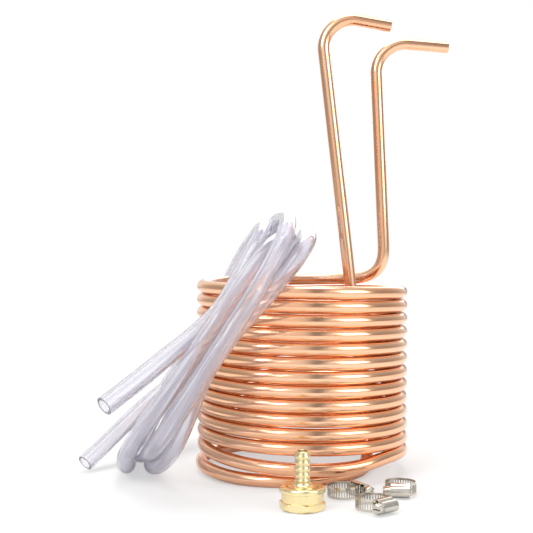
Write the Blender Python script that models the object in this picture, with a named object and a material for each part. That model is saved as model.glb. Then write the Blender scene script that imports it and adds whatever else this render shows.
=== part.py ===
"""Immersion wort chiller: a coil of copper tube with two risers, a clear vinyl hose laid over the coil,
and the loose fittings that come with it, a hose-thread swivel adapter and three worm-drive hose clamps.

Every length below is in millimetres, and MM turns it into Blender's metres where a mesh or a curve is
made. The frame starts on the coil's axis at the floor and is then moved by one empty, so that the
origin is the middle of the bottom of everything but the hose."""

import math

import bmesh
import bpy
from mathutils import Matrix, Vector

MM = 0.001
JOINT_GAP = 0.3

# Copper tube, 3/8 in outside
TUBE_DIAMETER = 9.525
# The heights of the turns are set down for the 9.525 mm tube and grow with the tube
TURN_SCALE = TUBE_DIAMETER / 9.525
TUBE_WALL = 0.81
TUBE_SIDES = 8
COIL_RADIUS = 76.6
COIL_PITCH = 10.05 * TURN_SCALE
COIL_TOP = 145.2 * TURN_SCALE
COIL_START = 57.0
COIL_STEP = 22.5
TURN_12 = 12 * 360
TURN_13 = 13 * 360
COIL_END = TURN_13 + 345
CURL_SHIFT = Vector((-15.0, -5.0, 0.0))
CURL_RADIUS = COIL_RADIUS - 13.1
CURL_START = TURN_13 + 110
CURL_DONE = TURN_13 + 250
STUB = 1.3

# Risers
INLET_FOOT = Vector((COIL_RADIUS - 23.2, 16.0, 16.0))
INLET_LEAN = Vector((-0.1136, 0.0, 1.0))
INLET_END = Vector((COIL_RADIUS - 5.1, 16.0, 347.0))
INLET_SLOPE = 10.0
INLET_BEND = 22.5
OUTLET_FOOT = Vector((COIL_RADIUS - 7.0, 52.0, 170.0))
OUTLET_LEAN = Vector((-0.042, 0.0, 1.0))
OUTLET_END = Vector((COIL_RADIUS + 46.4, 52.0, 337.0))
OUTLET_SLOPE = 5.0
OUTLET_BEND = 24.0
OUTLET_LOWER_BEND = 28.0

# Vinyl hose, 1/2 in outside
HOSE_DIAMETER = 12.7
HOSE_POINTS = 80
RING_CENTRE = Vector((-72.0, 0.0, 97.4))
RING_TILT = 56.0
RING_YAW = 8.3

# Swivel adapter: 3/4 in hose-thread nut on a 3/8 in barb
FITTING_CENTRE = Vector((-4.0, -(COIL_RADIUS + 51.4), 0.0))
NUT_BORE = 12.6
NUT_HALF_FLATS = NUT_BORE + 1.4
NUT_TURNED = NUT_HALF_FLATS + 1.6
NUT_WAIST = NUT_BORE + 1.2
NUT_TOP_RADIUS = NUT_BORE + 2.6
NUT_HOLE = NUT_BORE - 2.7
NUT_HEIGHT = 15.0
NUT_CEILING = NUT_HEIGHT - 2.5
FLANGE_RADIUS = NUT_BORE - 0.4
FLANGE_TOP = NUT_CEILING - JOINT_GAP
FLANGE_FOOT = FLANGE_TOP - 2.6
WASHER_RADIUS = NUT_BORE - JOINT_GAP
WASHER_HOLE = NUT_BORE - 4.6
WASHER_TOP = FLANGE_FOOT - JOINT_GAP
WASHER_THICKNESS = 3.0
NUT_TURN = 12.0
BARB_COUNT = 5
BARB_CREST = 5.2
BARB_ROOT = 4.3
BARB_BORE = 3.3

# Hose clamps, 8 mm band
BAND_WIDTH = 8.0
BAND_THICKNESS = 0.6
BAND_RADIUS = 10.0
BAND_RISE = 0.9
BAND_MIDDLE = BAND_WIDTH / 2 + JOINT_GAP + 0.6
BAND_INNER_END = -30.0
BAND_OUTER_END = 400.0
SLOT_WIDTH = 1.0
SLOT_HEIGHT = 5.0
SLOT_PITCH = 10.0
SCREW_CREST = 2.9
SCREW_ROOT = 2.2
SCREW_HEX_FLATS = 6.35
HOUSING_LENGTH = 13.0
HOUSING_WALL = 0.65
CLAMPS = [
    ("clamp_1", Vector((25.0, -(COIL_RADIUS + 21.4), 0.0)), 30.0),
    ("clamp_2", Vector((41.0, -(COIL_RADIUS + 54.4), 0.0)), -50.0),
    ("clamp_3", Vector((65.5, -(COIL_RADIUS + 10.4), 0.0)), -98.0),
]

COPPER = ("copper", (0.83, 0.47, 0.32), 1.0, 0.22)
BRASS = ("brass", (0.86, 0.70, 0.36), 1.0, 0.25)
STAINLESS = ("stainless", (0.66, 0.64, 0.61), 1.0, 0.28)
RUBBER = ("black rubber", (0.03, 0.03, 0.03), 0.0, 0.7)
VINYL = ("clear vinyl", (0.80, 0.79, 0.84), 0.0, 0.12)


# ---------------------------------------------------------------- curves

def cubic(keys, at):
    """Smooth value at `at` through (place, value) keys, with central slopes."""
    places = [key[0] for key in keys]
    values = [key[1] for key in keys]
    last = len(keys) - 1

    def slope(i):
        low, high = max(i - 1, 0), min(i + 1, last)
        return (values[high] - values[low]) / (places[high] - places[low])

    i = max(0, min(last - 1, sum(place < at for place in places) - 1))
    span = places[i + 1] - places[i]
    t = (at - places[i]) / span
    rise = values[i + 1] - values[i]
    start, end = slope(i) * span, slope(i + 1) * span
    return values[i] + t * (start + t * (3 * rise - 2 * start - end + t * (start + end - 2 * rise)))


def smooth_step(low, high, at):
    t = min(1.0, max(0.0, (at - low) / (high - low)))
    return t * t * (3 - 2 * t)


def fillet(before, corner, after, radius, count):
    """Points on the arc that rounds the corner of two straight runs."""
    back = (before - corner).normalized()
    ahead = (after - corner).normalized()
    half = back.angle(ahead) / 2
    centre = corner + (back + ahead).normalized() * radius / math.sin(half)
    first = corner + back * radius / math.tan(half) - centre
    last = corner + ahead * radius / math.tan(half) - centre
    turn = first.angle(last)
    axis = first.cross(last)
    return [centre + Matrix.Rotation(turn * i / (count - 1), 3, axis) @ first for i in range(count)]


def bezier(start, start_way, end, end_way, fullness, count):
    reach = (end - start).length * fullness
    a = start + start_way * reach
    b = end - end_way * reach
    points = []
    for i in range(count):
        t = i / (count - 1)
        u = 1 - t
        points.append(start * u**3 + a * 3 * t * u**2 + b * 3 * t**2 * u + end * t**3)
    return points


def spline(keys, steps):
    """Catmull-Rom curve through the keys."""
    ends = [keys[0] * 2 - keys[1]] + keys + [keys[-1] * 2 - keys[-2]]
    points = []
    for a, b, c, d in zip(ends, ends[1:], ends[2:], ends[3:]):
        for i in range(steps):
            t = i / steps
            bend = (a * 2 - b * 5 + c * 4 - d) * t**2 + (b * 3 - a - c * 3 + d) * t**3
            points.append((b * 2 + (c - a) * t + bend) / 2)
    return points + [keys[-1]]


def evenly(points, count):
    """The same curve as `count` points at equal distances."""
    run = [0.0]
    for a, b in zip(points, points[1:]):
        run.append(run[-1] + (b - a).length)
    spaced = []
    i = 0
    for k in range(count):
        want = run[-1] * k / (count - 1)
        while i < len(points) - 2 and run[i + 1] < want:
            i += 1
        spaced.append(points[i].lerp(points[i + 1], (want - run[i]) / (run[i + 1] - run[i])))
    return spaced


def shortened(points, at_start, at_end):
    """The path with a little taken off either end."""
    cut = list(points)
    cut[0] = cut[0] + (cut[1] - cut[0]).normalized() * at_start
    cut[-1] = cut[-1] + (cut[-2] - cut[-1]).normalized() * at_end
    return cut


# ---------------------------------------------------------------- copper path

def helix_height(bearing):
    return COIL_TOP - COIL_PITCH * (bearing - COIL_START) / 360


# The coil rests on its last turn, which has sprung out of the even pitch
LOWER_TURNS = [(TURN_12 + step, helix_height(TURN_12 + step)) for step in (-90, 0, 90, 180)] + [
    (bearing, height * TURN_SCALE) for bearing, height in (
        (TURN_12 + 240, 15.8), (TURN_12 + 270, 14.2), (TURN_12 + 297, 14.2), (TURN_12 + 320, 17.3),
        (TURN_12 + 345, 16.7), (TURN_13, 16.3), (TURN_13 + 90, 4.8), (TURN_13 + 135, 6.0),
        (TURN_13 + 180, 7.2), (TURN_13 + 210, 6.3), (TURN_13 + 240, 4.8), (TURN_13 + 300, 4.8),
        (TURN_13 + 360, 4.8))]


def coil_point(bearing):
    """Tube centre at this bearing: degrees counter-clockwise from +X, counted on from turn to turn."""
    height = helix_height(bearing) if bearing < TURN_12 else cubic(LOWER_TURNS, bearing)
    curl = smooth_step(CURL_START, CURL_DONE, bearing)
    radius = COIL_RADIUS + (CURL_RADIUS - COIL_RADIUS) * curl
    angle = math.radians(bearing)
    return CURL_SHIFT * curl + Vector((radius * math.cos(angle), radius * math.sin(angle), height))


def along(foot, lean, height):
    return foot + lean * (height - foot.z)


def riser_corner(foot, lean, end, slope):
    """Where the leaning riser meets the last run, which slopes down to the open end."""
    fall = math.tan(math.radians(slope))
    height = (end.z + (end.x - foot.x + lean.x * foot.z) * fall) / (1 + lean.x * fall)
    return along(foot, lean, height)


def inlet_path():
    corner = riser_corner(INLET_FOOT, INLET_LEAN, INLET_END, INLET_SLOPE)
    upper = fillet(INLET_END, corner, INLET_FOOT, INLET_BEND, 9)
    end = coil_point(COIL_END)
    way = (end - coil_point(COIL_END - 1)).normalized()
    lower = bezier(along(INLET_FOOT, INLET_LEAN, 30), -INLET_LEAN.normalized(), end, -way, 0.33, 9)
    return [INLET_END] + upper + lower[:-1] + [end + way * STUB, end]


def outlet_path():
    corner = riser_corner(OUTLET_FOOT, OUTLET_LEAN, OUTLET_END, OUTLET_SLOPE)
    upper = fillet(OUTLET_END, corner, OUTLET_FOOT, OUTLET_BEND, 9)
    start = coil_point(COIL_START)
    way = (coil_point(COIL_START + 1) - start).normalized()
    foot = along(OUTLET_FOOT, OUTLET_LEAN, start.z + OUTLET_LOWER_BEND)
    lower = bezier(foot, -OUTLET_LEAN.normalized(), start, way, 0.52, 9)
    return [OUTLET_END] + upper + lower[:-1] + [start - way * STUB, start]


def coil_path():
    span = COIL_END - COIL_START
    steps = round(span / COIL_STEP)
    bearings = [COIL_START + span * i / steps for i in range(steps + 1)]
    bearings = [COIL_START, COIL_START + 1] + bearings[1:-1] + [COIL_END - 1, COIL_END]
    return [coil_point(bearing) for bearing in bearings]


# ---------------------------------------------------------------- hose path

# Winding angle (0 top, 90 back, 180 floor, 270 front), offset to the side, distance from the middle
HOSE_WINDING = [
    (-60, 17, 90), (-40, 17.5, 92.5), (-20, 17, 95), (0, 15, 97.5), (45, 8.5, 98), (70, 1, 99),
    (90, -4, 99.5), (135, -4, 98), (180, -2.5, 96), (205, -2.5, 95.8), (225, 0, 106), (250, 4, 113.5),
    (270, 7, 119), (309, 6.5, 119), (335, 7, 115.5), (360, 6.5, 112), (405, 2.5, 114), (430, -2, 114.5),
    (450, -4, 114), (495, -2, 111), (540, 0, 109.1), (560, 8.5, 104.6), (585, 14, 100.5), (610, 16, 104),
    (630, 17.5, 109.5), (669, 14, 106.5), (695, 4.5, 101), (720, -5, 102.5), (765, -9.5, 107),
    (787, -14.5, 107.5), (810, -18, 106.5), (855, -18, 101), (900, -16, 98.6), (925, -15.5, 95),
    (945, -12, 93), (970, -2, 97), (990, 5, 104), (1029, -6.5, 108), (1055, -13, 110), (1080, -16.5, 112),
    (1100, -21.5, 114), (1125, -26, 116), (1147, -29, 109), (1162, -29, 100)]
HOSE_UPPER_END = [(-130, -152, 70.7), (-111, -134.5, 84.7), (-94, -117, 98.1), (-77, -100.5, 111.1),
                  (-61.5, -89.5, 126.1)]
HOSE_LOWER_END = [(-73, 80, 74.6), (-91.5, 61, 65.1), (-112, 41, 54.1), (-133, 19.5, 37.1),
                  (-151, 0, 20.1), (-166, -16, 6.7)]


def hose_path():
    """The hose goes three times round the coil's side, over its top rim and down to the floor."""
    tilt, yaw = math.radians(RING_TILT), math.radians(RING_YAW)
    up = Vector((math.cos(tilt), 0, math.sin(tilt)))
    back = Vector((-math.sin(yaw), math.cos(yaw), 0))
    side = up.cross(back)
    keys = [Vector(point) for point in HOSE_UPPER_END]
    for winding in range(-60, 1161, 20):
        angle = math.radians(winding)
        offset = cubic([(a, s) for a, s, r in HOSE_WINDING], winding)
        reach = cubic([(a, r) for a, s, r in HOSE_WINDING], winding)
        ring = (up * math.cos(angle) + back * math.sin(angle)) * reach + side * offset
        skew = Vector((0, 15 * math.cos(angle) - 9, 0))
        keys.append(RING_CENTRE + ring + skew)
    keys += [Vector(point) for point in HOSE_LOWER_END]
    return evenly(spline(keys, 8), HOSE_POINTS)


# ---------------------------------------------------------------- meshes

def material(finish):
    name, colour, metallic, roughness = finish
    found = bpy.data.materials.get(name)
    if found:
        return found
    made = bpy.data.materials.new(name)
    made.use_nodes = True
    shader = made.node_tree.nodes["Principled BSDF"]
    shader.inputs["Base Color"].default_value = (*colour, 1)
    shader.inputs["Metallic"].default_value = metallic
    shader.inputs["Roughness"].default_value = roughness
    return made


def new_object(name, data, finish, parent):
    data.materials.append(material(finish))
    node = bpy.data.objects.new(name, data)
    node.parent = parent
    bpy.context.scene.collection.objects.link(node)
    return node


def mesh_object(name, mesh, finish, parent):
    """Turns the bmesh, whose sizes are in millimetres, into an object in metres."""
    mesh.transform(Matrix.Scale(MM, 4))
    bmesh.ops.recalc_face_normals(mesh, faces=mesh.faces)
    data = bpy.data.meshes.new(name)
    mesh.to_mesh(data)
    mesh.free()
    data.shade_smooth()
    data.set_sharp_from_angle(angle=math.radians(32))
    return new_object(name, data, finish, parent)


def ring_of(mesh, points):
    return [mesh.verts.new(point) for point in points]


def bridge(mesh, one, other):
    """Quads between two closed rings of as many points."""
    for i in range(len(one)):
        j = (i + 1) % len(one)
        mesh.faces.new((one[i], one[j], other[j], other[i]))


def tube(name, path, parent):
    """A length of copper tube with an open bore, swept along its centre line."""
    outer = TUBE_DIAMETER / 2
    inner = outer - TUBE_WALL
    ways = []
    for i in range(len(path)):
        ways.append((path[min(i + 1, len(path) - 1)] - path[max(i - 1, 0)]).normalized())
    across = ways[0].orthogonal().normalized()
    mesh = bmesh.new()
    outside, inside = [], []
    for point, way in zip(path, ways):
        across = (across - way * across.dot(way)).normalized()
        other = way.cross(across)
        spokes = []
        for k in range(TUBE_SIDES):
            angle = math.tau * k / TUBE_SIDES
            spokes.append(across * math.cos(angle) + other * math.sin(angle))
        outside.append(ring_of(mesh, [point + spoke * outer for spoke in spokes]))
        inside.append(ring_of(mesh, [point + spoke * inner for spoke in spokes]))
    for skin in (outside, inside):
        for one, other in zip(skin, skin[1:]):
            bridge(mesh, one, other)
    bridge(mesh, outside[0], inside[0])
    bridge(mesh, outside[-1], inside[-1])
    return mesh_object(name, mesh, COPPER, parent)


def turned(rings, angles, closed):
    """A turned piece about Z: rings are (radius or a function of the angle, height), top to bottom or
    round a closed outline, and an open outline is capped at both ends."""
    mesh = bmesh.new()
    loops = []
    for radius, height in rings:
        points = []
        for angle in angles:
            reach = radius(angle) if callable(radius) else radius
            points.append((reach * math.cos(angle), reach * math.sin(angle), height))
        loops.append(ring_of(mesh, points))
    for one, other in zip(loops, loops[1:]):
        bridge(mesh, one, other)
    if closed:
        bridge(mesh, loops[-1], loops[0])
    else:
        mesh.faces.new(loops[0])
        mesh.faces.new(loops[-1])
    return mesh


def round_angles(sides):
    return [math.tau * i / sides for i in range(sides)]


def hexagon(half_flats, turned_radius):
    """Radius of a hexagon whose corners are turned down to a circle."""
    def radius(angle):
        from_flat = (angle + math.pi / 6) % (math.pi / 3) - math.pi / 6
        return min(turned_radius, half_flats / math.cos(from_flat))
    return radius


# ---------------------------------------------------------------- swivel adapter

def swivel_nut(parent):
    hexagonal = hexagon(NUT_HALF_FLATS, NUT_TURNED)
    corner = math.acos(NUT_HALF_FLATS / NUT_TURNED)
    angles = []
    for flat in range(6):
        middle = math.radians(60 * flat)
        angles += [middle - corner, middle - corner / 2, middle, middle + corner / 2, middle + corner,
                   middle + math.pi / 6]
    rings = [
        (NUT_BORE, NUT_CEILING), (NUT_BORE, 0.8), (NUT_BORE + 0.5, 0.0), (NUT_BORE + 1.1, 0.0), (hexagonal, 1.1),
        (hexagonal, 5.2), (NUT_WAIST + 0.1, 5.9), (NUT_WAIST, 6.4), (NUT_WAIST, NUT_HEIGHT - 4.0),
        (NUT_TOP_RADIUS, NUT_HEIGHT - 3.4), (NUT_TOP_RADIUS, NUT_HEIGHT - 1.3),
        (NUT_TOP_RADIUS - 0.9, NUT_HEIGHT), (NUT_HOLE, NUT_HEIGHT), (NUT_HOLE, NUT_CEILING)]
    mesh = turned(rings, angles, closed=True)
    mesh.transform(Matrix.Rotation(math.radians(NUT_TURN), 4, "Z"))
    nut = mesh_object("swivel_nut", mesh, BRASS, parent)
    nut.location = FITTING_CENTRE * MM


def barbed_tail(parent):
    neck = NUT_HOLE - JOINT_GAP
    collar = BARB_CREST + 0.4
    rings = [(BARB_BORE, FLANGE_FOOT), (FLANGE_RADIUS, FLANGE_FOOT), (FLANGE_RADIUS, FLANGE_TOP),
             (neck, FLANGE_TOP), (neck, NUT_HEIGHT + 0.1), (neck - 0.5, NUT_HEIGHT + 0.5),
             (collar + 1.6, NUT_HEIGHT + 0.5), (collar, NUT_HEIGHT + 1.6), (collar, NUT_HEIGHT + 3.0)]
    base, spacing = NUT_HEIGHT + 3.4, 3.9
    for barb in range(BARB_COUNT):
        low = base + spacing * barb
        rings += [(BARB_CREST, low), (BARB_CREST, low + 0.5), (BARB_ROOT, low + spacing - 0.3)]
    top = base + spacing * BARB_COUNT
    rings += [(BARB_ROOT - 0.2, top), (BARB_BORE, top)]
    tail = mesh_object("barbed_tail", turned(rings, round_angles(16), closed=True), BRASS, parent)
    tail.location = FITTING_CENTRE * MM


def hose_washer(parent):
    foot = WASHER_TOP - WASHER_THICKNESS
    rings = [(WASHER_HOLE, WASHER_TOP), (WASHER_RADIUS, WASHER_TOP), (WASHER_RADIUS, foot), (WASHER_HOLE, foot)]
    washer = mesh_object("hose_washer", turned(rings, round_angles(24), closed=True), RUBBER, parent)
    washer.location = FITTING_CENTRE * MM


# ---------------------------------------------------------------- hose clamps

def band_radius(turn):
    """Middle of the band's thickness: it spirals outwards so that its ends pass over each other."""
    return BAND_RADIUS + BAND_RISE * (turn - BAND_INNER_END) / 360


# The saddle lies just inside the band, and the screw's threads just outside it
SADDLE_OUTER = BAND_RADIUS - BAND_THICKNESS / 2 - JOINT_GAP
SCREW_CLEARANCE = 0.325
SCREW_AXIS = band_radius(360) + BAND_THICKNESS / 2 + SCREW_CLEARANCE + SCREW_CREST


def clamp_band(name, parent):
    """The slotted band as a grid: along it come the edges of the slots, across it four lines."""
    stops = [BAND_INNER_END]
    slot_angle = math.degrees(SLOT_WIDTH / BAND_RADIUS)
    count = int((BAND_OUTER_END - BAND_INNER_END) // SLOT_PITCH)
    margin = (BAND_OUTER_END - BAND_INNER_END - count * SLOT_PITCH) / 2
    for i in range(count):
        middle = BAND_INNER_END + margin + SLOT_PITCH * (i + 0.5)
        stops += [middle - slot_angle / 2, middle + slot_angle / 2]
    stops.append(BAND_OUTER_END)
    heights = [-BAND_WIDTH / 2, -SLOT_HEIGHT / 2, SLOT_HEIGHT / 2, BAND_WIDTH / 2]
    mesh = bmesh.new()
    skins = []
    for side in (-0.5, 0.5):
        grid = []
        for turn in stops:
            radius = band_radius(turn) + side * BAND_THICKNESS
            x = radius * math.cos(math.radians(turn))
            y = -radius * math.sin(math.radians(turn))
            grid.append(ring_of(mesh, [(x, y, BAND_MIDDLE + height) for height in heights]))
        skins.append(grid)
    inner, outer = skins
    last = len(stops) - 1
    for i in range(last):
        slot = i % 2 == 1
        for k in range(3):
            if slot and k == 1:
                continue
            for grid in skins:
                mesh.faces.new((grid[i][k], grid[i + 1][k], grid[i + 1][k + 1], grid[i][k + 1]))
        for k in (0, 3) + ((1, 2) if slot else ()):
            mesh.faces.new((inner[i][k], inner[i + 1][k], outer[i + 1][k], outer[i][k]))
    for i in range(last + 1):
        for k in range(3):
            if i in (0, last) or k == 1:
                mesh.faces.new((inner[i][k], inner[i][k + 1], outer[i][k + 1], outer[i][k]))
    return mesh_object(name + "_band", mesh, STAINLESS, parent)


def clamp_saddle(name, parent):
    """The curved plate inside the band, under the housing."""
    inner, outer, half_width = SADDLE_OUTER - 0.6, SADDLE_OUTER, BAND_WIDTH / 2
    half_angle, steps = 40, 10
    mesh = bmesh.new()
    loops = []
    for i in range(steps + 1):
        angle = math.radians(-half_angle + 2 * half_angle * i / steps)
        x, y = math.cos(angle), math.sin(angle)
        low, high = BAND_MIDDLE - half_width, BAND_MIDDLE + half_width
        loops.append(ring_of(mesh, [
            (inner * x, inner * y, low), (outer * x, outer * y, low),
            (outer * x, outer * y, high), (inner * x, inner * y, high)]))
    for one, other in zip(loops, loops[1:]):
        bridge(mesh, one, other)
    mesh.faces.new(loops[0])
    mesh.faces.new(loops[-1])
    return mesh_object(name + "_saddle", mesh, STAINLESS, parent)


def clamp_housing(name, parent):
    """A folded cover over the screw, with a skirt down each edge of the band."""
    inner = SCREW_CREST + JOINT_GAP
    outer = inner + HOUSING_WALL
    skirt = BAND_WIDTH / 2 + JOINT_GAP
    hem = SADDLE_OUTER - 0.2
    outside = [(hem, skirt + 0.6), (SCREW_AXIS - 2.7, skirt + 0.6), (SCREW_AXIS - 1.6, outer + 0.3)]
    inside = [(hem, skirt), (SCREW_AXIS - 3.0, skirt), (SCREW_AXIS - 2.0, inner + 0.35)]
    arcs = []
    for radius, count in ((outer, 8), (inner, 8)):
        angles = [math.radians(105 - 210 * i / count) for i in range(count + 1)]
        arcs.append([(SCREW_AXIS + radius * math.cos(a), radius * math.sin(a)) for a in angles])

    def whole(side, arc):
        return side + arc + [(x, -z) for x, z in side[::-1]]

    profile = whole(outside, arcs[0]) + whole(inside, arcs[1])[::-1]
    mesh = bmesh.new()
    half = HOUSING_LENGTH / 2
    ends = [ring_of(mesh, [(x, y, BAND_MIDDLE + z) for x, z in profile]) for y in (-half, half)]
    bridge(mesh, ends[0], ends[1])
    count = len(profile)
    for ring in ends:
        for i in range(count // 2 - 1):
            mesh.faces.new((ring[i], ring[i + 1], ring[count - 2 - i], ring[count - 1 - i]))
    return mesh_object(name + "_housing", mesh, STAINLESS, parent)


def clamp_screw(name, parent):
    """Worm screw with a slotted hexagon head. It is turned about Z, then laid along the housing."""
    hexagonal = hexagon(SCREW_HEX_FLATS / 2, SCREW_HEX_FLATS / 1.80)
    half = HOUSING_LENGTH / 2
    head_top, washer_radius = half + 5.1, SCREW_CREST + 0.9
    rings = [(hexagonal, head_top), (hexagonal, half + 1.0), (washer_radius, half + 0.9),
             (washer_radius, half + JOINT_GAP), (SCREW_ROOT, half + JOINT_GAP)]
    pitch = math.radians(SLOT_PITCH) * band_radius(360)
    worm_top, worm_foot = half - 1.3, 0.9 - half
    for i in range(int((worm_top - worm_foot) // pitch)):
        top = worm_top - pitch * i
        rings += [(SCREW_ROOT, top), (SCREW_CREST, top - 0.35 * pitch), (SCREW_CREST, top - 0.55 * pitch),
                  (SCREW_ROOT, top - 0.9 * pitch)]
    rings += [(SCREW_ROOT, worm_foot), (SCREW_ROOT - 0.3, 0.2 - half)]
    screw = mesh_object(name + "_screw", turned(rings, round_angles(12), closed=False), STAINLESS, parent)
    cutter_mesh = bpy.data.meshes.new(name + "_slot")
    slot = bmesh.new()
    bmesh.ops.create_cube(slot, size=1, matrix=Matrix.Diagonal((9, 1.2, 3.0, 1)))
    slot.transform(Matrix.Scale(MM, 4))
    slot.to_mesh(cutter_mesh)
    slot.free()
    cutter = bpy.data.objects.new(name + "_slot", cutter_mesh)
    bpy.context.scene.collection.objects.link(cutter)
    cutter.parent = screw
    cutter.location = (0, 0, head_top * MM)
    cutter.hide_render = True
    cutter.display_type = "WIRE"
    cut = screw.modifiers.new("slot", "BOOLEAN")
    cut.object = cutter
    cut.operation = "DIFFERENCE"
    screw.location = (SCREW_AXIS * MM, 0, BAND_MIDDLE * MM)
    screw.rotation_euler = (math.pi / 2, 0, 0)
    return screw


def hose_clamp(name, centre, bearing, parent):
    holder = bpy.data.objects.new(name, None)
    holder.parent = parent
    holder.location = centre * MM
    holder.rotation_euler = (0, 0, math.radians(bearing))
    bpy.context.scene.collection.objects.link(holder)
    clamp_band(name, holder)
    clamp_saddle(name, holder)
    clamp_housing(name, holder)
    clamp_screw(name, holder)


# ---------------------------------------------------------------- whole object

def vinyl_hose(parent):
    data = bpy.data.curves.new("vinyl_hose", "CURVE")
    data.dimensions = "3D"
    data.bevel_depth = HOSE_DIAMETER / 2 * MM
    data.bevel_resolution = 2
    data.use_fill_caps = True
    points = hose_path()
    line = data.splines.new("POLY")
    line.points.add(len(points) - 1)
    for place, point in zip(line.points, points):
        place.co = (*(point * MM), 1)
    return new_object("vinyl_hose", data, VINYL, parent)


def settle(frame, left_out):
    """Moves the frame so that the origin is the middle of the bottom of all but the left-out node."""
    bpy.context.view_layer.update()
    graph = bpy.context.evaluated_depsgraph_get()
    corners = []
    for node in bpy.data.objects:
        if node.type != "MESH" or node.hide_render or node == left_out:
            continue
        shape = node.evaluated_get(graph)
        corners += [shape.matrix_world @ vertex.co for vertex in shape.data.vertices]
    low = Vector([min(corner[axis] for corner in corners) for axis in range(3)])
    high = Vector([max(corner[axis] for corner in corners) for axis in range(3)])
    frame.location = -Vector(((low.x + high.x) / 2, (low.y + high.y) / 2, low.z))


def main():
    for leftover in list(bpy.data.objects):
        bpy.data.objects.remove(leftover)
    frame = bpy.data.objects.new("chiller_frame", None)
    bpy.context.scene.collection.objects.link(frame)
    half_gap = JOINT_GAP / 2
    tube("copper_coil", shortened(coil_path(), half_gap, half_gap), frame)
    tube("inlet_riser", shortened(inlet_path(), 0, half_gap), frame)
    tube("outlet_riser", shortened(outlet_path(), 0, half_gap), frame)
    hose = vinyl_hose(frame)
    swivel_nut(frame)
    barbed_tail(frame)
    hose_washer(frame)
    for name, centre, bearing in CLAMPS:
        hose_clamp(name, centre, bearing, frame)
    settle(frame, hose)
    bpy.context.view_layer.update()


main()
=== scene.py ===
# %% [markdown]
# # Immersion wort chiller
# A brewer drops this coil of copper tube into a pot of hot wort and runs cold water through it. With it
# come a clear vinyl hose, a brass swivel adapter for a tap and three hose clamps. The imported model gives
# the frame, so every piece below is measured from one of its nodes and rides on one of its bodies.

# %% Load the frame
import math

import bpy
from mathutils import Matrix, Vector


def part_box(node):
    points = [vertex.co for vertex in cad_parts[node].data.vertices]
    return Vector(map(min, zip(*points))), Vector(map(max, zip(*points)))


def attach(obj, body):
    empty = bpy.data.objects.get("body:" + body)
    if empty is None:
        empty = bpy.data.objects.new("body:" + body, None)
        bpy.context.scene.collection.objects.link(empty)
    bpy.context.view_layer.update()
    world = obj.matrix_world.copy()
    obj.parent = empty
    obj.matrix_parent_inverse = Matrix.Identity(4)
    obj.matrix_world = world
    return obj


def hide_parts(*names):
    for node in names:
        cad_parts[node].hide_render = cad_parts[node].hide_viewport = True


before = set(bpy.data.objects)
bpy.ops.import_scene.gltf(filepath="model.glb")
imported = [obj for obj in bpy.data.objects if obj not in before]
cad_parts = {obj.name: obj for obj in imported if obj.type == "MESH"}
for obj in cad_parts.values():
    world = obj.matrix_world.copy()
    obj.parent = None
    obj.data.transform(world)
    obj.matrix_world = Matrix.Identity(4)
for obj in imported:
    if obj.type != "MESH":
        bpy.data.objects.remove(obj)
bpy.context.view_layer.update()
MM = 0.001
ADAPTER_PLACE, WASHER_FOOT = Vector((-4.0, -128.0, 0.0)), Vector((0.0, 0.0, 6.3))
washer_low, washer_high = (Vector(corner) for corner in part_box("hose_washer"))
washer_foot = Vector(((washer_low.x + washer_high.x) / 2, (washer_low.y + washer_high.y) / 2, washer_low.z))
COIL_FOOT = washer_foot - (ADAPTER_PLACE + WASHER_FOOT) * MM

# %% [markdown]
# ## Camera
# The view is level, from a little left of the coil's axis and about half as high as the whole chiller.
# A long lens from 0.8 m keeps the turns nearly flat, and a small shift raises the frame to the risers.

# %% Camera
camera = bpy.data.objects.new("camera", bpy.data.cameras.new("camera"))
bpy.context.scene.collection.objects.link(camera)
camera.location = COIL_FOOT + Vector((-27.5, -803.0, 170.0)) * MM
camera.rotation_euler = (math.radians(90), 0, 0)
camera.data.lens = 69.64
camera.data.sensor_width = 36.0
camera.data.shift_y = -0.0328
camera.data.clip_start = 0.01
bpy.context.scene.camera = camera
print("camera at", [round(value, 3) for value in camera.location])

# %% [markdown]
# ## Curves
# Three kinds of bend make every route: a round fillet where a tube was bent over a former, a cubic
# Bezier where it flows from one run into another, and a Catmull-Rom curve through points for the hose.
# Routes are in millimetres from the foot of the coil's axis, as a maker would mark them out.

# %% Curve helpers
def cubic(keys, at):
    """Smooth value through (place, value) keys, with central slopes."""
    places = [key[0] for key in keys]
    values = [key[1] for key in keys]
    last = len(keys) - 1

    def slope(i):
        low, high = max(i - 1, 0), min(i + 1, last)
        return (values[high] - values[low]) / (places[high] - places[low])

    i = max(0, min(last - 1, sum(place < at for place in places) - 1))
    span = places[i + 1] - places[i]
    t = (at - places[i]) / span
    rise = values[i + 1] - values[i]
    start, end = slope(i) * span, slope(i + 1) * span
    return values[i] + t * (start + t * (3 * rise - 2 * start - end + t * (start + end - 2 * rise)))


def smooth_step(low, high, at):
    t = min(1.0, max(0.0, (at - low) / (high - low)))
    return t * t * (3 - 2 * t)


def fillet(before, corner, after, radius, count):
    back = (before - corner).normalized()
    ahead = (after - corner).normalized()
    half = back.angle(ahead) / 2
    centre = corner + (back + ahead).normalized() * radius / math.sin(half)
    first = corner + back * radius / math.tan(half) - centre
    last = corner + ahead * radius / math.tan(half) - centre
    axis = first.cross(last)
    turn = first.angle(last)
    return [centre + Matrix.Rotation(turn * i / (count - 1), 3, axis) @ first for i in range(count)]


def bezier(start, start_way, end, end_way, fullness, count):
    reach = (end - start).length * fullness
    a, b = start + start_way * reach, end - end_way * reach
    points = []
    for i in range(count):
        t = i / (count - 1)
        u = 1 - t
        points.append(start * u**3 + a * 3 * t * u**2 + b * 3 * t**2 * u + end * t**3)
    return points


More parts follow.
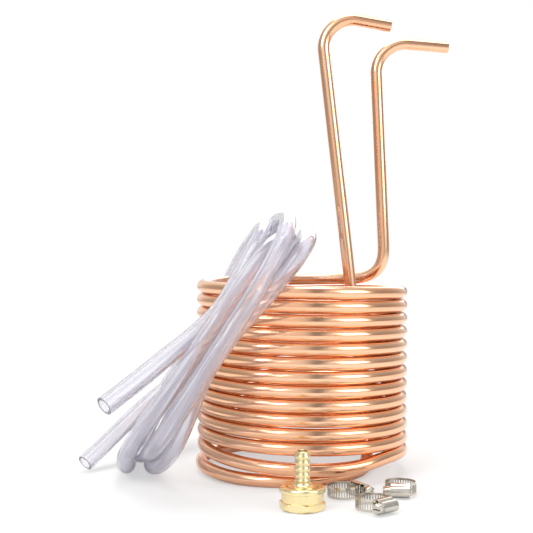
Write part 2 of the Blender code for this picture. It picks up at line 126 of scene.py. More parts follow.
def spline(keys, steps):
    ends = [keys[0] * 2 - keys[1]] + keys + [keys[-1] * 2 - keys[-2]]
    points = []
    for a, b, c, d in zip(ends, ends[1:], ends[2:], ends[3:]):
        for i in range(steps):
            t = i / steps
            bend = (a * 2 - b * 5 + c * 4 - d) * t**2 + (b * 3 - a - c * 3 + d) * t**3
            points.append((b * 2 + (c - a) * t + bend) / 2)
    return points + [keys[-1]]


def lengths(points):
    run = [0.0]
    for a, b in zip(points, points[1:]):
        run.append(run[-1] + (b - a).length)
    return run


def evenly(points, count):
    run = lengths(points)
    spaced, i = [], 0
    for k in range(count):
        want = run[-1] * k / (count - 1)
        while i < len(points) - 2 and run[i + 1] < want:
            i += 1
        spaced.append(points[i].lerp(points[i + 1], (want - run[i]) / (run[i + 1] - run[i])))
    return spaced


def placed(points):
    """Points in millimetres from the coil's foot, as points in the frame."""
    return [COIL_FOOT + point * MM for point in points]


print("curve helpers ready")

# %% [markdown]
# ## A swept tube
# Both the copper tube and the hose are one ring of points carried along a route. The ring is turned as
# little as possible from point to point, so the skin doesn't twist. A stop is a place on the route and
# a radius there, so a list of stops can go down the outside, over the lip and back up the bore.

# %% Sweeping
def sweep(name, route, stops, sides, closed):
    ways = []
    for i in range(len(route)):
        ways.append((route[min(i + 1, len(route) - 1)] - route[max(i - 1, 0)]).normalized())
    across, spokes = ways[0].orthogonal().normalized(), []
    for way in ways:
        across = (across - way * across.dot(way)).normalized()
        other = way.cross(across)
        turns = [math.tau * k / sides for k in range(sides)]
        spokes.append([across * math.cos(turn) + other * math.sin(turn) for turn in turns])
    run = lengths(route)
    points = [route[i] + spoke * radius for i, radius in stops for spoke in spokes[i]]
    faces, maps = [], []
    rings = len(stops)
    for ring in range(rings if closed else rings - 1):
        after = (ring + 1) % rings
        v, w = run[stops[ring][0]] / MM, run[stops[after][0]] / MM
        for k in range(sides):
            j = (k + 1) % sides
            faces.append((ring * sides + k, ring * sides + j, after * sides + j, after * sides + k))
            maps += [(k / sides, v), ((k + 1) / sides, v), ((k + 1) / sides, w), (k / sides, w)]
    if not closed:
        faces.append(tuple(range(sides))[::-1])
        faces.append(tuple((rings - 1) * sides + k for k in range(sides)))
        maps += [(0.5, 0.0)] * (2 * sides)
    mesh = bpy.data.meshes.new(name)
    mesh.from_pydata(points, [], faces)
    layer = mesh.uv_layers.new(name="along")
    for loop, place in zip(layer.data, maps):
        loop.uv = place
    mesh.shade_smooth()
    mesh.set_sharp_from_angle(angle=math.radians(40))
    piece = bpy.data.objects.new(name, mesh)
    bpy.context.scene.collection.objects.link(piece)
    return piece


print("sweep ready")

# %% [markdown]
# ## Shader sums
# A finish is easier to read as a sum than as a list of links. This small class wraps a socket, so that
# noise * 0.4 + 0.2 adds its own Math nodes, and one method makes any other node.

# %% Shader maths
class Value:
    def __init__(self, tree, socket):
        self.tree, self.socket = tree, socket

    def sum(self, operation, first, second):
        node = self.tree.nodes.new("ShaderNodeMath")
        node.operation = operation
        for place, given in zip(node.inputs, (first, second)):
            if isinstance(given, Value):
                self.tree.links.new(given.socket, place)
            else:
                place.default_value = given
        return Value(self.tree, node.outputs[0])

    def __add__(self, other):
        return self.sum("ADD", self, other)

    def __mul__(self, other):
        return self.sum("MULTIPLY", self, other)

    def __pow__(self, other):
        return self.sum("POWER", self, other)


class Finish:
    """A material in the making."""

    def __init__(self, name):
        self.material = bpy.data.materials.new(name)
        self.material.use_nodes = True
        self.tree = self.material.node_tree
        self.shader = self.tree.nodes["Principled BSDF"]

    def node(self, kind, settings=None, out=0, **inputs):
        node = self.tree.nodes.new("ShaderNode" + kind)
        for key, setting in (settings or {}).items():
            if key == "stops":
                ramp = node.color_ramp.elements
                for place, colour in setting[2:]:
                    ramp.new(place)
                for element, (place, colour) in zip(ramp, setting):
                    element.position = place
                    element.color = (*colour, 1)
            else:
                setattr(node, key, setting)
        for key, given in inputs.items():
            place = node.inputs[int(key[1:])] if key[1:].isdigit() else node.inputs[key.replace("_", " ")]
            self.feed(place, given)
        return Value(self.tree, node.outputs[out])

    def feed(self, place, given):
        if isinstance(given, Value):
            self.tree.links.new(given.socket, place)
        else:
            place.default_value = given

    def set(self, **inputs):
        for key, given in inputs.items():
            self.feed(self.shader.inputs[key.replace("_", " ")], given)

    def mix(self, amount, low, high):
        """A colour between two others."""
        return self.node("Mix", {"data_type": "RGBA"}, out=2, i0=amount, i6=low, i7=high)

    def sum_of(self, socket):
        """A socket of a node made outside, ready for sums."""
        return Value(self.tree, socket)

    def clamped(self, value):
        return self.node("Clamp", None, Value=value)

    def noise(self, vector, scale, detail=3.0):
        return self.node("TexNoise", None, Vector=vector, Scale=scale, Detail=detail)

    def place(self, output=3, stretch=(1, 1, 1)):
        """Texture place: output 2 is the UV map and 3 the object's own space."""
        where = self.node("TexCoord", None, out=output)
        return self.node("Mapping", None, Vector=where, Scale=stretch)


print("shader helpers ready")

# %% [markdown]
# ## Copper
# Bright drawn copper is a metal, so nearly all its colour is in what it reflects. Three things vary on
# a real tube: patches that have begun to warm towards orange, a faint haze, and the fine lines that
# the drawing die left along it. The lines follow the tube's own map, which runs along its length.

# %% Copper finish
copper = Finish("bright copper")
patches = copper.noise(copper.place(3, (1, 1, 1)), 16.0, 1.5)
lines = copper.noise(copper.place(2, (46.0, 0.035, 1)), 1.0, 2.0)
blush = copper.node("MapRange", None, Value=patches, i1=0.36, i2=0.68)
copper_colour = copper.mix(blush, (0.94, 0.57, 0.37, 1), (0.90, 0.48, 0.275, 1))
haze = copper.noise(copper.place(3, (1, 1, 1)), 120.0)
copper.set(Base_Color=copper_colour, Metallic=1.0, Roughness=haze * 0.07 + lines * 0.05 + 0.13)
copper.set(Normal=copper.node("Bump", None, Height=lines, Strength=0.03, Distance=0.0002))
print("finish:", copper.material.name)

# %% [markdown]
# ## Brass and stainless
# The adapter is turned from brass bar, so it keeps rings from the tool, which are finest across the
# height. The clamps are rolled strip: their grain runs round the band, and it dulls them a little.

# %% Brass finish
brass = Finish("turned brass")
rings_left = brass.noise(brass.place(3, (1, 1, 60)), 42.0, 2.0)
brass_patch = brass.noise(brass.place(3), 160.0)
brass_colour = brass.mix(brass_patch, (0.93, 0.81, 0.50, 1), (0.89, 0.73, 0.38, 1))
brass.set(Base_Color=brass_colour, Metallic=1.0, Roughness=rings_left * 0.12 + 0.20)
brass.set(Normal=brass.node("Bump", None, Height=rings_left, Strength=0.08, Distance=0.0002))
print("finish:", brass.material.name)

# %% Stainless finish
stainless = Finish("stainless strip")
grain = stainless.noise(stainless.place(3, (1, 1, 26)), 210.0, 2.0)
smudge = stainless.noise(stainless.place(3), 190.0)
steel_colour = stainless.mix(smudge, (0.66, 0.63, 0.57, 1), (0.50, 0.47, 0.41, 1))
stainless.set(Base_Color=steel_colour, Metallic=1.0, Roughness=grain * 0.14 + 0.16)
stainless.set(Normal=stainless.node("Bump", None, Height=grain, Strength=0.10, Distance=0.0001))
print("finish:", stainless.material.name)

# %% [markdown]
# ## Rubber and vinyl
# The washer is dull black rubber. The hose is clear vinyl, which bends light as glass does but is a
# little milky and cool in colour, so some of it scatters and the rest passes through.

# %% Rubber finish
rubber = Finish("black rubber")
bloom = rubber.noise(rubber.place(3), 420.0)
rubber.set(Base_Color=rubber.mix(bloom, (0.022, 0.022, 0.024, 1), (0.05, 0.05, 0.052, 1)))
rubber.set(Roughness=bloom * 0.2 + 0.55)
print("finish:", rubber.material.name)

# %% Vinyl finish
vinyl = Finish("clear vinyl")
milk = vinyl.noise(vinyl.place(2, (3.0, 0.012, 1)), 1.0, 2.0)
clear = vinyl.mix(milk, (0.935, 0.925, 0.955, 1), (0.885, 0.875, 0.925, 1))
# Painted shade: the base colour turns a darker grey lavender towards the hose's edges as seen from the
# camera, for the denser look where light passes through more wall.
painted_edge_shade = vinyl.node("LayerWeight", None, out=1, Blend=0.5) ** 2.2
vinyl.set(Base_Color=vinyl.mix(painted_edge_shade, clear, (0.56, 0.54, 0.66, 1)))
vinyl.set(Roughness=milk * 0.06 + 0.06, Transmission_Weight=0.88, IOR=1.36)
print("finish:", vinyl.material.name)

# %% [markdown]
# ## Copper tube
# The real tube is one length: down one riser, under and round the coil's loose last turn, up through
# the even turns and out along the other riser. One sweep makes it whole, with a bore that can be seen
# into at both ends. It stands for the three CAD nodes that the frame cuts it into.

# %% Copper route
TUBE_RADIUS, TUBE_BORE, TUBE_LIP, BORE_DEPTH = 4.7625, 3.95, 0.28, 12
COIL_RADIUS, COIL_PITCH, COIL_TOP, COIL_START = 76.6, 10.05, 145.2, 57.0
TURN_12, TURN_13 = 12 * 360, 13 * 360
COIL_END = TURN_13 + 345
CURL_SHIFT, CURL_RADIUS = Vector((-15.0, -5.0, 0.0)), 63.5
INLET_FOOT, INLET_LEAN = Vector((53.4, 16.0, 16.0)), Vector((-0.1136, 0.0, 1.0))
OUTLET_FOOT, OUTLET_LEAN = Vector((69.6, 52.0, 170.0)), Vector((-0.042, 0.0, 1.0))
INLET_END, OUTLET_END = Vector((71.5, 16.0, 347.0)), Vector((123.0, 52.0, 337.0))
INLET_SLOPE, OUTLET_SLOPE, INLET_BEND, OUTLET_BEND = 10, 5, 22.5, 24
INLET_LOW, OUTLET_LOWER_BEND = 30, 28


def helix_height(bearing):
    return COIL_TOP - COIL_PITCH * (bearing - COIL_START) / 360


LOWER_TURNS = [(TURN_12 + step, helix_height(TURN_12 + step)) for step in (-90, 0, 90, 180)] + [
    (TURN_12 + 240, 15.8), (TURN_12 + 270, 14.2), (TURN_12 + 297, 14.2), (TURN_12 + 320, 17.3),
    (TURN_12 + 345, 16.7), (TURN_13, 16.3), (TURN_13 + 90, 4.8), (TURN_13 + 135, 6.0),
    (TURN_13 + 180, 7.2), (TURN_13 + 210, 6.3), (TURN_13 + 240, 4.8), (TURN_13 + 300, 4.8),
    (TURN_13 + 360, 4.8)]


def coil_point(bearing):
    height = helix_height(bearing) if bearing < TURN_12 else cubic(LOWER_TURNS, bearing)
    curl = smooth_step(TURN_13 + 110, TURN_13 + 250, bearing)
    radius = COIL_RADIUS + (CURL_RADIUS - COIL_RADIUS) * curl
    angle = math.radians(bearing)
    return CURL_SHIFT * curl + Vector((radius * math.cos(angle), radius * math.sin(angle), height))


def riser_top(foot, lean, end, slope, bend):
    """The open end, the last run and the bend over the riser."""
    fall = math.tan(math.radians(slope))
    height = (end.z + (end.x - foot.x + lean.x * foot.z) * fall) / (1 + lean.x * fall)
    corner = foot + lean * (height - foot.z)
    arc = fillet(end, corner, foot, bend, 25)
    straight = [end.lerp(arc[0], t) for t in (0, 0.006, 0.25, 0.5, 0.75)]
    return straight + arc


def copper_route():
    start = coil_point(COIL_START)
    start_way = (coil_point(COIL_START + 1) - start).normalized()
    outlet_low = OUTLET_FOOT + OUTLET_LEAN * (start.z + OUTLET_LOWER_BEND - OUTLET_FOOT.z)
    outlet = riser_top(OUTLET_FOOT, OUTLET_LEAN, OUTLET_END, OUTLET_SLOPE, OUTLET_BEND)
    outlet += [outlet[-1].lerp(outlet_low, t / 8) for t in range(1, 8)]
    outlet += bezier(outlet_low, -OUTLET_LEAN.normalized(), start, start_way, 0.52, 19)[:-1]
    turns = [coil_point(COIL_START + 5 * i) for i in range(int((COIL_END - COIL_START) / 5) + 1)]
    end = coil_point(COIL_END)
    end_way = (end - coil_point(COIL_END - 1)).normalized()
    inlet_low = INLET_FOOT + INLET_LEAN * (INLET_LOW - INLET_FOOT.z)
    inlet = riser_top(INLET_FOOT, INLET_LEAN, INLET_END, INLET_SLOPE, INLET_BEND)
    inlet += [inlet[-1].lerp(inlet_low, t / 14) for t in range(1, 14)]
    inlet += bezier(inlet_low, -INLET_LEAN.normalized(), end, -end_way, 0.33, 19)
    return outlet + turns[:-1] + inlet[::-1]


copper_points = copper_route()
print("copper tube,", round(lengths(copper_points)[-1] / 1000, 2), "m")

# %% Copper tube
route = placed(copper_points)
last = len(route) - 1
lip = (TUBE_RADIUS - TUBE_LIP) * MM
stops = [(i, TUBE_BORE * MM) for i in range(BORE_DEPTH, -1, -1)] + [(0, lip)]
stops += [(i, TUBE_RADIUS * MM) for i in range(1, last)] + [(last, lip)]
stops += [(i, TUBE_BORE * MM) for i in range(last, last - BORE_DEPTH, -1)]
tube = sweep("copper_tube", route, stops, 24, closed=False)
tube.data.materials.append(copper.material)
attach(tube, "chiller")
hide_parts("copper_coil", "inlet_riser", "outlet_riser")
print("copper tube:", len(tube.data.polygons), "faces")

# %% [markdown]
# ## Vinyl hose
# About 2.6 m of hose is wound three times round into a loose ring, hung over the coil's rim so that it
# leans down to the floor. Its windings keep a diameter apart. The route is set out as a tilted ring,
# with a place to the side and a reach for each part of each winding, and it is the CAD hose's route.

# %% Hose route
HOSE_DIAMETER, HOSE_BORE, HOSE_POINTS = 12.7, 9.525, 520
RING_CENTRE, RING_TILT, RING_YAW = Vector((-72.0, 0.0, 97.4)), math.radians(56.0), math.radians(8.3)
HOSE_WINDING = [
    (-60, 17, 90), (-40, 17.5, 92.5), (-20, 17, 95), (0, 15, 97.5), (45, 8.5, 98), (70, 1, 99),
    (90, -4, 99.5), (135, -4, 98), (180, -2.5, 96), (205, -2.5, 95.8), (225, 0, 106), (250, 4, 113.5),
    (270, 7, 119), (309, 6.5, 119), (335, 7, 115.5), (360, 6.5, 112), (405, 2.5, 114), (430, -2, 114.5),
    (450, -4, 114), (495, -2, 111), (540, 0, 109.1), (560, 8.5, 104.6), (585, 14, 100.5), (610, 16, 104),
    (630, 17.5, 109.5), (669, 14, 106.5), (695, 4.5, 101), (720, -5, 102.5), (765, -9.5, 107),
    (787, -14.5, 107.5), (810, -18, 106.5), (855, -18, 101), (900, -16, 98.6), (925, -15.5, 95),
    (945, -12, 93), (970, -2, 97), (990, 5, 104), (1029, -6.5, 108), (1055, -13, 110), (1080, -16.5, 112),
    (1100, -21.5, 114), (1125, -26, 116), (1147, -29, 109), (1162, -29, 100)]
HOSE_UPPER_END = [(-130, -152, 70.7), (-111, -134.5, 84.7), (-94, -117, 98.1), (-77, -100.5, 111.1),
                  (-61.5, -89.5, 126.1)]
HOSE_LOWER_END = [(-73, 80, 74.6), (-91.5, 61, 65.1), (-112, 41, 54.1), (-133, 19.5, 37.1),
                  (-151, 0, 20.1), (-166, -16, 6.7)]


def hose_route():
    up = Vector((math.cos(RING_TILT), 0, math.sin(RING_TILT)))
    back = Vector((-math.sin(RING_YAW), math.cos(RING_YAW), 0))
    side = up.cross(back)
    keys = [Vector(point) for point in HOSE_UPPER_END]
    for winding in range(-60, 1161, 20):
        angle = math.radians(winding)
        offset = cubic([(a, s) for a, s, r in HOSE_WINDING], winding)
        reach = cubic([(a, r) for a, s, r in HOSE_WINDING], winding)
        ring = (up * math.cos(angle) + back * math.sin(angle)) * reach + side * offset
        keys.append(RING_CENTRE + ring + Vector((0, 15 * math.cos(angle) - 9, 0)))
    keys += [Vector(point) for point in HOSE_LOWER_END]
    return evenly(spline(keys, 8), HOSE_POINTS)


hose_points = placed(hose_route())
hose_length = lengths(hose_points)[-1]
print("hose,", round(hose_length, 3), "m")

# %% Hose
count = len(hose_points)
outer = [(i, HOSE_DIAMETER / 2 * MM) for i in range(count)]
bore = [(i, HOSE_BORE / 2 * MM) for i in range(count - 1, -1, -1)]
hose = sweep("clear_hose", hose_points, outer + bore, 24, closed=True)
hose.data.materials.append(vinyl.material)
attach(hose, "hose")
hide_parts("vinyl_hose")
print("hose:", len(hose.data.polygons), "faces")

# %% [markdown]
# ## Turned pieces
# The nut, the barbed tail, the washer and the screws all come off a lathe. A profile is a list of
# radius and height, and where a radius depends on the angle it gives a hexagon or a screw thread.

# %% Turning
def turned(name, profile, sides, closed, finish, matrix):
    angles = [math.tau * k / sides for k in range(sides)]
    points = []
    for radius, height in profile:
        for angle in angles:
            reach = radius(angle, height) if callable(radius) else radius
            points.append(Vector((reach * math.cos(angle), reach * math.sin(angle), height)))
    faces = []
    rings = len(profile)
    for ring in range(rings if closed else rings - 1):
        after = (ring + 1) % rings
        for k in range(sides):
            j = (k + 1) % sides
            faces.append((ring * sides + k, after * sides + k, after * sides + j, ring * sides + j))
    if not closed:
        faces.append(tuple(range(sides)))
        faces.append(tuple((rings - 1) * sides + k for k in range(sides))[::-1])
    mesh = bpy.data.meshes.new(name)
    mesh.from_pydata([point * MM for point in points], [], faces)
    mesh.transform(matrix)
    mesh.shade_smooth()
    mesh.set_sharp_from_angle(angle=math.radians(35))
    mesh.materials.append(finish.material)
    piece = bpy.data.objects.new(name, mesh)
    bpy.context.scene.collection.objects.link(piece)
    return piece


def hexagon(half_flats, turned_radius, turn=0.0):
    def radius(angle, height):
        from_flat = (angle - turn + math.pi / 6) % (math.pi / 3) - math.pi / 6
        return min(turned_radius, half_flats / math.cos(from_flat))
    return radius


def thread(root, depth, pitch):
    """Radius of a screw thread: a ridge that climbs one pitch for each turn."""
    def radius(angle, height):
        phase = (height / pitch - angle / math.tau) % 1.0
        return root + depth * smooth_step(0.15, 0.45, phase) * (1 - smooth_step(0.6, 0.9, phase))
    return radius


print("turning ready")

# %% [markdown]
# ## Swivel adapter
# The nut takes a 3/4 in hose thread and turns freely round the tail's flange. Its lower flange is a
# hexagon with its corners turned down, its upper one is round, and a groove separates them. Each edge
# has a small chamfer, which catches the light.

# %% Swivel nut
adapter_foot = Matrix.Translation(COIL_FOOT + ADAPTER_PLACE * MM)
hose_thread = thread(12.62, 0.75, 25.4 / 11.5)
HEX_HALF_FLATS, HEX_TURNED, HEX_TURN = 14.0, 15.6, math.radians(12)
THREAD_STEP = 0.22


def chamfered_hex(angle, height):
    """The hexagon's sides, cut by a cone above and below that leaves a scallop on each corner."""
    cone = min(13.75 + 1.9 * (5.5 - height), 13.6 + 1.3 * height)
    return min(hexagon(HEX_HALF_FLATS, HEX_TURNED, HEX_TURN)(angle, height), cone)


nut_profile = [(12.6, 12.5)] + [(hose_thread, 10.6 - THREAD_STEP * i) for i in range(44)]
nut_profile += [(13.35, 0.5), (13.45, 0.15), (13.5, 0.0)]
nut_profile += [(chamfered_hex, 0.16 * i) for i in range(35)]
nut_profile += [(13.7, 5.5), (13.72, 6.0), (13.8, 6.5), (13.8, 10.9), (13.95, 11.2), (14.6, 11.5),
                (15.0, 11.6), (15.2, 11.85), (15.2, 13.6), (15.05, 14.1), (14.6, 14.6), (14.1, 14.9),
                (13.7, 15.0), (10.3, 15.0), (9.98, 14.88), (9.9, 14.6), (9.9, 12.5)]
nut = turned("swivel_nut_turned", nut_profile, 120, True, brass, adapter_foot)
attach(nut, "adapter_nut")
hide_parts("swivel_nut")
print("nut:", len(nut.data.polygons), "faces")

# %% Barbed tail
tail_profile = [(3.3, 9.6), (12.1, 9.6), (12.2, 9.75), (12.2, 12.05), (12.1, 12.2), (9.6, 12.2), (9.6, 15.0),
                (9.5, 15.3), (9.2, 15.45), (8.4, 15.5), (8.1, 15.3), (7.6, 15.3), (7.3, 15.5), (6.6, 15.75),
                (6.0, 16.3), (5.65, 16.9), (5.6, 17.6), (5.5, 18.0), (4.6, 18.25)]
BARB_COUNT, BARB_FOOT, BARB_SPACING = 5, 18.4, 3.9
for barb in range(BARB_COUNT):
    low = BARB_FOOT + BARB_SPACING * barb
    tail_profile += [(4.6, low), (5.05, low + 0.05), (5.2, low + 0.2), (5.2, low + 0.6), (5.1, low + 0.8),
                     (4.6, low + 3.5)]
tail_profile += [(4.1, 37.7), (3.9, 37.9), (3.5, 37.9), (3.3, 37.75)]
tail = turned("barbed_tail_turned", tail_profile, 72, True, brass, adapter_foot)
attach(tail, "adapter_tail")
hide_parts("barbed_tail")
print("tail:", len(tail.data.polygons), "faces")

# %% Washer
washer_profile = [(8.0, 6.6), (8.3, 6.3), (12.0, 6.3), (12.3, 6.6), (12.3, 9.0), (12.0, 9.3), (8.3, 9.3),
                  (8.0, 9.0)]
washer = turned("hose_washer_moulded", washer_profile, 72, True, rubber, adapter_foot)
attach(washer, "adapter_nut")
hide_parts("hose_washer")
print("washer:", len(washer.data.polygons), "faces")

# %% [markdown]
# ## Hose clamps
# A worm-drive clamp is a slotted strip bent into a ring, with a folded housing that holds a screw. The
# screw's thread sits in the slots, so turning it draws the strip through. All three clamps are alike,
# so one set of functions makes them, each in its own place and turn.

# %% Clamp sizes
CLAMPS = [("clamp_1", (25.0, -98.0), 30.0), ("clamp_2", (41.0, -131.0), -50.0),
          ("clamp_3", (65.5, -87.0), -98.0)]
BAND_RADIUS, BAND_RISE, BAND_START, BAND_END = 10.0, 0.9, -30.0, 400.0
BAND_MIDDLE, BAND_THICKNESS, HALF_WIDTH, HALF_SLOT = 4.9, 0.6, 4.0, 2.5
SLOT_PITCH, SLOT_COUNT, SLOT_HALF_ANGLE = 10.0, 43, 2.8
SADDLE_INNER, SADDLE_OUTER, SADDLE_HALF_ANGLE = 8.8, 9.4, 40
SCREW_AXIS, SCREW_ROOT, HOUSING_INNER, HOUSING_OUTER, HOUSING_HALF = 14.5, 2.2, 3.2, 3.85, 6.5


def band_radius(turn):
    """Middle of the strip, which spirals outwards so that its ends pass over each other."""
    return BAND_RADIUS + BAND_RISE * (turn - BAND_START) / 360


def grid_piece(name, points, faces, finish, matrix, bevel):
    mesh = bpy.data.meshes.new(name)
    mesh.from_pydata([Vector(point) * MM for point in points], [], faces)
    mesh.transform(matrix)
    mesh.shade_smooth()
    mesh.set_sharp_from_angle(angle=math.radians(35))
    mesh.materials.append(finish.material)
    piece = bpy.data.objects.new(name, mesh)
    bpy.context.scene.collection.objects.link(piece)
    edge = piece.modifiers.new("edges", "BEVEL")
    edge.width = bevel * MM
    edge.segments = 2
    edge.limit_method = "ANGLE"
    edge.angle_limit = math.radians(35)
    return piece


print("clamps:", len(CLAMPS))

# %% Band
def clamp_band(name, matrix):
    """The strip is a grid that follows the ring, with a hole left at each slot."""
    margin = (BAND_END - BAND_START - SLOT_COUNT * SLOT_PITCH) / 2
    stops = [(BAND_START, False)]
    for i in range(SLOT_COUNT):
        middle = BAND_START + margin + SLOT_PITCH * (i + 0.5)
        stops += [(middle - SLOT_HALF_ANGLE, True), (middle, True), (middle + SLOT_HALF_ANGLE, False)]
    stops.append((BAND_END, False))
    heights = [-HALF_WIDTH, -HALF_SLOT, HALF_SLOT, HALF_WIDTH]
    points, faces = [], []
    for side in (-0.5, 0.5):
        for turn, slot in stops:
            radius = band_radius(turn) + side * BAND_THICKNESS
            angle = math.radians(-turn)
            for height in heights:
                points.append((radius * math.cos(angle), radius * math.sin(angle), BAND_MIDDLE + height))
    skin = 4 * len(stops)
    last = len(stops) - 1
    for i in range(last):
        a, b, slot = 4 * i, 4 * i + 4, stops[i][1]
        for k in (0, 2) if slot else (0, 1, 2):
            faces.append((a + k, a + k + 1, b + k + 1, b + k))
            faces.append((skin + a + k, skin + b + k, skin + b + k + 1, skin + a + k + 1))
        faces.append((a, b, skin + b, skin + a))
        faces.append((a + 3, skin + a + 3, skin + b + 3, b + 3))
        if slot:
            faces.append((a + 1, skin + a + 1, skin + b + 1, b + 1))
            faces.append((a + 2, b + 2, skin + b + 2, skin + a + 2))
        if slot and not stops[i - 1][1]:
            faces.append((a + 1, a + 2, skin + a + 2, skin + a + 1))
        if slot and not stops[i + 1][1]:
            faces.append((b + 1, skin + b + 1, skin + b + 2, b + 2))
    for k in range(3):
        faces.append((k, skin + k, skin + k + 1, k + 1))
        end = 4 * last + k
        faces.append((end, end + 1, skin + end + 1, skin + end))
    return grid_piece(name + "_slotted_band", points, faces, stainless, matrix, 0.06)


print("band ready:", SLOT_COUNT, "slots")

# %% Housing and saddle
def extruded(name, profile, half_length, matrix):
    """A folded sheet profile, drawn along the screw."""
    count = len(profile)
    points = [(x, y, BAND_MIDDLE + z) for y in (-half_length, half_length) for x, z in profile]
    faces = [(i, count + i, count + (i + 1) % count, (i + 1) % count) for i in range(count)]
    for i in range(count // 2 - 1):
        faces.append((i, i + 1, count - 2 - i, count - 1 - i))
        faces.append((count + i, 2 * count - 1 - i, 2 * count - 2 - i, count + i + 1))
    return grid_piece(name, points, faces, stainless, matrix, 0.10)


def clamp_housing(name, matrix):
    outside = [(9.2, 4.9), (11.5, 4.9), (12.2, 4.75), (12.9, 4.25)]
    inside = [(9.2, 4.3), (11.3, 4.3), (11.9, 4.12), (12.5, 3.6)]
    arcs = []
    for radius in (HOUSING_OUTER, HOUSING_INNER):
        angles = [math.radians(105 - 210 * i / 24) for i in range(25)]
        arcs.append([(SCREW_AXIS + radius * math.cos(a), radius * math.sin(a)) for a in angles])
    halves = [side + arc + [(x, -z) for x, z in side[::-1]] for side, arc in zip((outside, inside), arcs)]
    return extruded(name + "_folded_housing", halves[0] + halves[1][::-1], HOUSING_HALF, matrix)


def clamp_saddle(name, matrix):
    points, faces = [], []
    steps = 24
    for i in range(steps + 1):
        angle = math.radians(-SADDLE_HALF_ANGLE + 2 * SADDLE_HALF_ANGLE * i / steps)
        for radius, height in ((SADDLE_INNER, -HALF_WIDTH), (SADDLE_OUTER, -HALF_WIDTH),
                               (SADDLE_OUTER, HALF_WIDTH), (SADDLE_INNER, HALF_WIDTH)):
            points.append((radius * math.cos(angle), radius * math.sin(angle), BAND_MIDDLE + height))
    for i in range(steps):
        for k in range(4):
            j = (k + 1) % 4
            faces.append((4 * i + k, 4 * i + 4 + k, 4 * i + 4 + j, 4 * i + j))
    faces += [(0, 1, 2, 3), (4 * steps + 3, 4 * steps + 2, 4 * steps + 1, 4 * steps)]
    return grid_piece(name + "_curved_saddle", points, faces, stainless, matrix, 0.06)


print("housing and saddle ready")

# %% Screw
def clamp_screw(name, matrix):
    """A hexagon head with a driver slot, a flange and a worm thread."""
    worm = thread(SCREW_ROOT, 0.7, math.radians(SLOT_PITCH) * band_radius(360))
    head = hexagon(3.175, 3.53)
    crown = hexagon(2.95, 3.2)
    profile = [(1.6, 11.72), (crown, 11.6), (head, 11.25), (head, 7.7), (3.3, 7.5), (3.75, 7.4), (3.8, 7.25),
               (3.8, 6.95), (3.7, 6.8), (SCREW_ROOT, 6.8), (SCREW_ROOT, 5.6)]
    profile += [(worm, 5.4 - THREAD_STEP * i) for i in range(49)]
    profile += [(SCREW_ROOT, -5.6), (2.1, -6.1), (1.8, -6.3)]
    laid = matrix @ Matrix.Translation(Vector((SCREW_AXIS, 0, BAND_MIDDLE)) * MM)
    laid = laid @ Matrix.Rotation(math.pi / 2, 4, "X")
    screw = turned(name + "_worm_screw", profile, 48, False, stainless, laid)
    cutter_mesh = bpy.data.meshes.new(name + "_slot")
    x, y, low, high = 6.0, 0.6, 10.1, 13.0
    corners = [(a, b, c) for a in (-x, x) for b in (-y, y) for c in (low, high)]
    sides = [(0, 1, 3, 2), (4, 6, 7, 5), (0, 4, 5, 1), (2, 3, 7, 6), (0, 2, 6, 4), (1, 5, 7, 3)]
    cutter_mesh.from_pydata([Vector(corner) * MM for corner in corners], [], sides)
    cutter_mesh.transform(laid)
    cutter = bpy.data.objects.new(name + "_slot_cutter", cutter_mesh)
    bpy.context.scene.collection.objects.link(cutter)
    cut = screw.modifiers.new("driver slot", "BOOLEAN")
    cut.object = cutter
    cut.operation = "DIFFERENCE"
    bpy.context.view_layer.update()
    shape = bpy.data.meshes.new_from_object(screw.evaluated_get(bpy.context.evaluated_depsgraph_get()))
    screw.modifiers.clear()
    screw.data = shape
    bpy.data.objects.remove(cutter)
    return screw


print("screw ready")

# %% Make the clamps
for name, (x, y), bearing in CLAMPS:
    spot = Matrix.Translation(COIL_FOOT + Vector((x, y, 0.0)) * MM)
    spot = spot @ Matrix.Rotation(math.radians(bearing), 4, "Z")
    made = [(clamp_band(name, spot), name + "_ring", "_band"), (clamp_housing(name, spot), name, "_housing"),
            (clamp_saddle(name, spot), name, "_saddle"), (clamp_screw(name, spot), name + "_worm", "_screw")]
    for piece, body, node in made:
        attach(piece, body)
        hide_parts(name + node)
    print(name, "made of", len(made), "pieces")

# %% [markdown]
# ## Floor, room and light
# Metal and clear vinyl are only as good as the room they reflect. The world is white to the camera and
# nearly so through the hose. In reflections one upright stretch of it is dark, like the gap between two
# softboxes, which draws the brown streaks down the front of the coil. The floor takes the shadow.

# %% World
world = bpy.data.worlds.new("studio")
bpy.context.scene.world = world
world.use_nodes = True
room = world.node_tree
sky = room.nodes["Background"]
looking = room.nodes.new("ShaderNodeTexCoord")
split = room.nodes.new("ShaderNodeSeparateXYZ")
room.links.new(looking.outputs["Generated"], split.inputs[0])
band = room.nodes.new("ShaderNodeValToRGB")
SKY_STOPS = [(0.0, 0.40), (0.14, 0.55), (0.26, 1.0), (0.52, 0.85), (0.60, 0.22), (0.66, 0.28), (0.72, 0.95),
             (0.86, 0.60), (1.0, 0.35)]
for place, level in SKY_STOPS[2:]:
    band.color_ramp.elements.new(place)
for element, (place, level) in zip(band.color_ramp.elements, SKY_STOPS):
    element.position = place
    element.color = (level, level, level, 1)
halved = room.nodes.new("ShaderNodeMath")
halved.operation = "MULTIPLY_ADD"
halved.inputs[1].default_value = 0.5
halved.inputs[2].default_value = 0.5
room.links.new(split.outputs["X"], halved.inputs[0])
room.links.new(halved.outputs[0], band.inputs[0])
ray = room.nodes.new("ShaderNodeLightPath")
seen = Value(room, ray.outputs["Is Camera Ray"]) + Value(room, ray.outputs["Is Transmission Ray"]) * 0.72
paint = room.nodes.new("ShaderNodeMix")
paint.data_type = "RGBA"
room.links.new(seen.socket, paint.inputs[0])
room.links.new(band.outputs[0], paint.inputs[6])
paint.inputs[7].default_value = (1, 1, 1, 1)
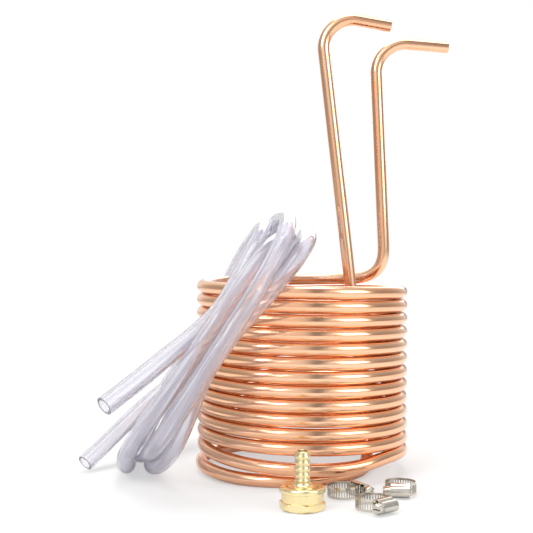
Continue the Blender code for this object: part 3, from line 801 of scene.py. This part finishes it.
room.links.new(paint.outputs[2], sky.inputs["Color"])
print("world ready")

# %% Floor
floor_mesh = bpy.data.meshes.new("floor")
reach = 6.0
floor_mesh.from_pydata([(-reach, -reach, 0), (reach, -reach, 0), (reach, reach, 0), (-reach, reach, 0)], [],
                       [(0, 1, 2, 3)])
floor = bpy.data.objects.new("floor", floor_mesh)
bpy.context.scene.collection.objects.link(floor)
paper = Finish("white paper")
paper.set(Base_Color=(0.80, 0.80, 0.80, 1), Roughness=0.9, Specular_IOR_Level=0.0)
seen_by = paper.tree.nodes.new("ShaderNodeLightPath")
glow = paper.tree.nodes.new("ShaderNodeEmission")
distance = paper.node("VectorMath", {"operation": "LENGTH"}, out=1, i0=paper.place(3))
far = paper.node("MapRange", None, Value=distance, i1=0.22, i2=0.75)
eye = paper.sum_of(seen_by.outputs["Is Camera Ray"])
through = paper.sum_of(seen_by.outputs["Is Transmission Ray"])
blend = paper.tree.nodes.new("ShaderNodeMixShader")
paper.feed(blend.inputs[0], paper.clamped((eye + through) * (far * 0.55 + 0.45)))
paper.tree.links.new(paper.shader.outputs[0], blend.inputs[1])
paper.tree.links.new(glow.outputs[0], blend.inputs[2])
paper.tree.links.new(blend.outputs[0], paper.tree.nodes["Material Output"].inputs["Surface"])
floor_mesh.materials.append(paper.material)
print("floor ready")

# %% Lamps
LAMPS = [("key", (-0.75, -0.85, 0.95), 0.7, 9.0), ("fill", (0.95, -0.6, 0.6), 0.7, 5.0),
         ("top", (0.0, 0.1, 1.3), 0.8, 7.0), ("rim", (0.2, 1.1, 0.7), 0.8, 5.0)]
for name, place, size, power in LAMPS:
    lamp = bpy.data.objects.new(name, bpy.data.lights.new(name, "AREA"))
    bpy.context.scene.collection.objects.link(lamp)
    lamp.data.size = size
    lamp.data.energy = power
    lamp.location = place
    lamp.rotation_euler = (Vector((0, 0, 0.12)) - lamp.location).to_track_quat("-Z", "Y").to_euler()
print("lamps:", len(LAMPS))

# %% Finish
bpy.context.scene.view_settings.view_transform = "Standard"
